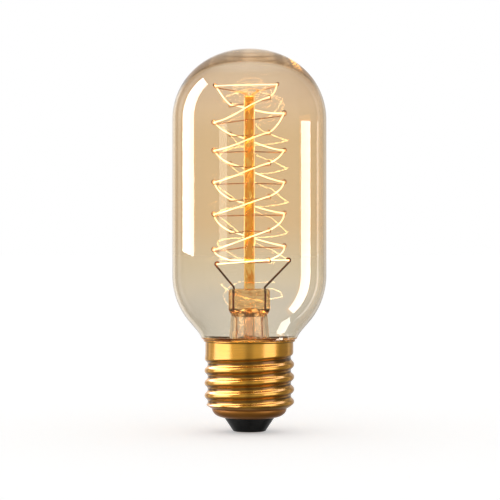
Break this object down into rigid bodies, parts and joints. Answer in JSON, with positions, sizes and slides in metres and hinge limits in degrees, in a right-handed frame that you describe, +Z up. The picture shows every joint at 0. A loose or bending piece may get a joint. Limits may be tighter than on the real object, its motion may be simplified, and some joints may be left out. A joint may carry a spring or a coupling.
{
  "type": "filament lamp",
  "caption": "Tubular amber glass lamp with a spiral cage filament on a glass stem and a brass screw cap.",
  "frame": {"origin": "centre of the flat lowest face of the solder on the centre contact, on the lamp's axis", "axes": "+Z up the lamp's axis from the contact to the crown of the glass; the lead wires leave the press along -X and +X, and the blow hole of the press faces -Y"},
  "size_m": [0.045, 0.045, 0.1118],
  "materials": {
    "amber_glass": "clear, tinted amber, glossy",
    "stem_glass": "clear, glossy",
    "rod_glass": "clear, lit gold by the filament",
    "black_glass": "opaque black, glossy",
    "brass": "rolled brass, warm, lightly tarnished",
    "molybdenum": "fine dark wire",
    "nickel": "oxidised wire",
    "sealing_wire": "copper-clad, red under the glass",
    "copper": "drawn wire",
    "filament": "glowing coiled wire",
    "solder": "dull tin solder",
    "cement": "matt baked resin cement"
  },
  "bodies": {
    "root": {"bulb_glass": "amber_glass", "stem_flare": "stem_glass", "stem_press": "stem_glass", "exhaust_tube": "stem_glass", "support_rod": "rod_glass", "rod_bead": "rod_glass", "support_wire_01": "molybdenum", "support_wire_02": "molybdenum", "support_wire_03": "molybdenum", "support_wire_04": "molybdenum", "support_wire_05": "molybdenum", "support_wire_06": "molybdenum", "support_wire_07": "molybdenum", "support_wire_08": "molybdenum", "support_wire_09": "molybdenum", "support_wire_10": "molybdenum", "support_wire_11": "molybdenum", "support_wire_12": "molybdenum", "support_wire_13": "molybdenum", "support_wire_14": "molybdenum", "support_wire_15": "molybdenum", "support_wire_16": "molybdenum", "support_wire_17": "molybdenum", "support_wire_18": "molybdenum", "support_wire_19": "molybdenum", "support_wire_20": "molybdenum", "support_wire_21": "molybdenum", "support_wire_22": "molybdenum", "support_wire_23": "molybdenum", "support_wire_24": "molybdenum", "filament": "filament", "inner_lead_left": "nickel", "inner_lead_right": "nickel", "seal_wire_left": "sealing_wire", "seal_wire_right": "sealing_wire", "outer_lead_shell": "copper", "outer_lead_contact": "copper", "basing_cement": "cement", "screw_shell": "brass", "insulator": "black_glass", "centre_contact": "brass", "contact_solder": "solder", "shell_solder": "solder"}
  },
  "joints": []
}
